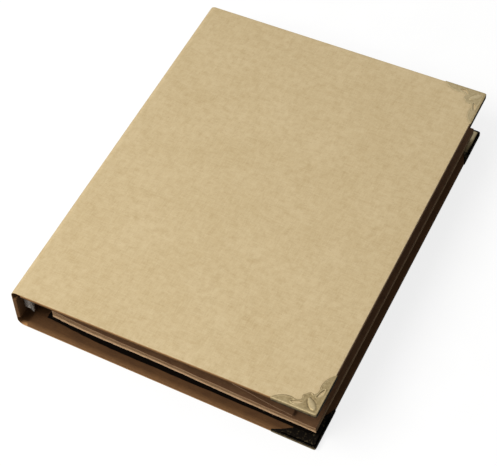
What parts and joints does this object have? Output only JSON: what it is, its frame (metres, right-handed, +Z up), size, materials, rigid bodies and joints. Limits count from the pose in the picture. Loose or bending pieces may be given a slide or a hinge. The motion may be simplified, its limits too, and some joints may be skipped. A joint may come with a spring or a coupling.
{
  "type": "ring binder photo album",
  "caption": "Closed loose-leaf album with kraft paper covers, ornate metal corners, a ring mechanism on the spine and dark card leaves.",
  "frame": {"origin": "centre of the closed album's bounding box, on the plane it rests on", "axes": "+X from the spine towards the fore-edge, +Y from tail to head along the spine, +Z up through the closed album"},
  "size_m": [0.2154, 0.281, 0.0443],
  "materials": {
    "kraft_paper": "matte",
    "lining_paper": "matte",
    "grey_board": "matte",
    "tan_card": "matte",
    "brown_card": "matte",
    "black_card": "matte",
    "antique_metal": "antiqued, satin",
    "nickel": "nickel plate, satin"
  },
  "bodies": {
    "back_cover": {"back_board": "grey_board", "back_kraft_cover": "kraft_paper", "back_lining": "lining_paper", "back_joint_kraft": "kraft_paper", "back_joint_lining": "lining_paper", "back_tail_corner": "antique_metal", "back_head_corner": "antique_metal"},
    "spine": {"spine_board": "grey_board", "spine_kraft_cover": "kraft_paper", "spine_lining": "lining_paper", "ring_housing": "nickel", "housing_rivets": "nickel", "trigger_pins": "nickel"},
    "front_cover": {"front_board": "grey_board", "front_kraft_cover": "kraft_paper", "front_lining": "lining_paper", "front_joint_kraft": "kraft_paper", "front_joint_lining": "lining_paper", "front_tail_corner": "antique_metal", "front_head_corner": "antique_metal"},
    "upper_rings": {"upper_ring_blade": "nickel", "upper_ring_halves": "nickel"},
    "lower_rings": {"lower_ring_blade": "nickel", "lower_ring_halves": "nickel"},
    "tail_lever": {"tail_trigger": "nickel"},
    "head_lever": {"head_trigger": "nickel"},
    "leaf_stack": {"black_leaves": "black_card", "tan_leaves": "tan_card", "brown_leaf": "brown_card"},
    "turned_leaf": {"upper_leaf": "brown_card"}
  },
  "joints": [
    {"name": "spine_fold", "type": "hinge", "parent": "back_cover", "child": "spine", "pos_m": [-0.10668, 0, 0.00107], "axis": [0, -1, 0], "range_deg": [0, 90]},
    {"name": "cover_open", "type": "hinge", "parent": "spine", "child": "front_cover", "pos_m": [-0.10683, 0, 0.03638], "axis": [0, -1, 0], "range_deg": [0, 88.12]},
    {"name": "upper_ring_open", "type": "hinge", "parent": "spine", "child": "upper_rings", "pos_m": [-0.10365, 0, 0.02535], "axis": [0, -1, 0], "range_deg": [0, 7]},
    {"name": "lower_ring_open", "type": "hinge", "parent": "spine", "child": "lower_rings", "pos_m": [-0.10365, 0, 0.01195], "axis": [0, 1, 0], "range_deg": [0, 7]},
    {"name": "tail_lever_press", "type": "hinge", "parent": "spine", "child": "tail_lever", "pos_m": [-0.10315, -0.131, 0.01865], "axis": [0, 0, -1], "range_deg": [0, 11.2]},
    {"name": "head_lever_press", "type": "hinge", "parent": "spine", "child": "head_lever", "pos_m": [-0.10315, 0.131, 0.01865], "axis": [0, 0, 1], "range_deg": [0, 11.2]},
    {"name": "stack_slide_round_rings", "type": "hinge", "parent": "spine", "child": "leaf_stack", "pos_m": [-0.08775, 0, 0.01865], "axis": [0, -1, 0], "range_deg": [-90.4, 0]},
    {"name": "leaf_turn", "type": "hinge", "parent": "spine", "child": "turned_leaf", "pos_m": [-0.08775, 0, 0.01865], "axis": [0, -1, 0], "range_deg": [0, 91]}
  ],
  "couplings": [
    {"joint": "lower_ring_open", "follows": "upper_ring_open", "ratio": 1},
    {"joint": "tail_lever_press", "follows": "upper_ring_open", "ratio": 1.571},
    {"joint": "head_lever_press", "follows": "upper_ring_open", "ratio": 1.571},
    {"joint": "stack_slide_round_rings", "follows": "spine_fold", "ratio": -1.0033},
    {"joint": "leaf_turn", "follows": "cover_open", "ratio": 1.03}
  ]
}
